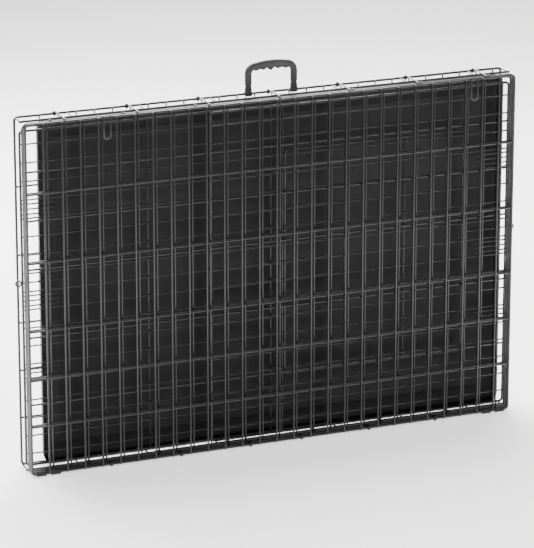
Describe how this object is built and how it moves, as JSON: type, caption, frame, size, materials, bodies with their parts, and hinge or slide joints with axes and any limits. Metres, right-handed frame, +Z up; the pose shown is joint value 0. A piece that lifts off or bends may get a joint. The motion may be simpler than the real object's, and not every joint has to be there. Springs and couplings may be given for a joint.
{
  "type": "folding wire dog crate",
  "caption": "Black wire dog crate folded flat like a suitcase, standing on its long edge, with a plastic floor pan inside and a moulded carrying handle on top.",
  "frame": {"origin": "middle of the base of the closed crate, on the ground", "axes": "+X along the crate to the right seen from the front, +Y to the back of the folded stack, +Z up to the handle"},
  "size_m": [1.2528, 0.0908, 0.9142],
  "materials": {
    "powder_coated_wire": "black powder coat, satin",
    "hinge_plate": "black powder coat, satin",
    "moulded_pan": "black moulded polypropylene, fine grain",
    "moulded_handle": "black moulded plastic, satin",
    "rubber_foot": "black rubber"
  },
  "bodies": {
    "root": {"bolt_guides": "hinge_plate", "door_frame": "powder_coated_wire", "door_hinge_rings": "hinge_plate", "door_thin_wires": "powder_coated_wire", "door_uprights": "powder_coated_wire", "floor_bottom_lip": "powder_coated_wire", "floor_frame": "powder_coated_wire", "floor_long_wires": "powder_coated_wire", "floor_thin_wires": "powder_coated_wire", "floor_top_lip": "powder_coated_wire", "left_end_frame": "powder_coated_wire", "left_end_rods": "powder_coated_wire", "left_end_thin_wires": "powder_coated_wire", "left_end_uprights": "powder_coated_wire", "rear_feet": "rubber_foot", "rear_hinge_plates": "hinge_plate", "right_end_frame": "powder_coated_wire", "right_end_rods": "powder_coated_wire", "right_end_thin_wires": "powder_coated_wire", "right_end_uprights": "powder_coated_wire"},
    "pan": {"pan": "moulded_pan"},
    "rear_side": {"rear_side_frame": "powder_coated_wire", "rear_side_long_wires": "powder_coated_wire", "rear_side_thin_wires": "powder_coated_wire", "top_hinge_plates": "hinge_plate"},
    "top_panel": {"front_hinge_plates": "hinge_plate", "top_frame": "powder_coated_wire", "top_long_wires": "powder_coated_wire", "top_thin_wires": "powder_coated_wire"},
    "front_side": {"front_feet": "rubber_foot", "front_side_frame": "powder_coated_wire", "front_side_long_wires": "powder_coated_wire", "front_side_thin_wires": "powder_coated_wire"},
    "stack_clips": {"stack_clips": "powder_coated_wire"},
    "handle": {"handle": "moulded_handle"},
    "left_hook": {"left_hook": "powder_coated_wire"},
    "right_hook": {"right_hook": "powder_coated_wire"},
    "left_bolt": {"left_bolt": "powder_coated_wire"},
    "right_bolt": {"right_bolt": "powder_coated_wire"}
  },
  "joints": [
    {"name": "rear_side_fold", "type": "hinge", "parent": "root", "child": "rear_side", "pos_m": [0, -0.0182, 0.006], "axis": [1, 0, 0], "range_deg": [0, 90]},
    {"name": "top_fold", "type": "hinge", "parent": "rear_side", "child": "top_panel", "pos_m": [0, -0.0288, 0.838], "axis": [1, 0, 0], "range_deg": [-270, 0]},
    {"name": "front_side_fold", "type": "hinge", "parent": "top_panel", "child": "front_side", "pos_m": [0, -0.0386, 0.006], "axis": [1, 0, 0], "range_deg": [0, 90]},
    {"name": "stack_clips_lift", "type": "hinge", "parent": "root", "child": "stack_clips", "pos_m": [0, 0.0384, 0.838], "axis": [1, 0, 0], "range_deg": [-65, 0]},
    {"name": "handle_swing", "type": "hinge", "parent": "root", "child": "handle", "pos_m": [0, 0.0384, 0.838], "axis": [1, 0, 0], "range_deg": [-90, 45]},
    {"name": "left_hook_swing", "type": "hinge", "parent": "front_side", "child": "left_hook", "pos_m": [0, -0.0386, 0.838], "axis": [1, 0, 0], "range_deg": [-150, 0]},
    {"name": "right_hook_swing", "type": "hinge", "parent": "front_side", "child": "right_hook", "pos_m": [0, -0.0386, 0.838], "axis": [1, 0, 0], "range_deg": [-150, 0]},
    {"name": "pan_slide", "type": "slide", "parent": "root", "child": "pan", "axis": [1, 0, 0], "range_m": [0, 1.1]},
    {"name": "left_bolt_slide", "type": "slide", "parent": "root", "child": "left_bolt", "axis": [1, 0, 0], "range_m": [-0.02, 0]},
    {"name": "right_bolt_slide", "type": "slide", "parent": "root", "child": "right_bolt", "axis": [1, 0, 0], "range_m": [0, 0.02]}
  ],
  "couplings": [
    {"joint": "top_fold", "follows": "rear_side_fold", "ratio": -3},
    {"joint": "front_side_fold", "follows": "rear_side_fold", "ratio": 1},
    {"joint": "stack_clips_lift", "follows": "rear_side_fold", "ratio": -0.7}
  ]
}
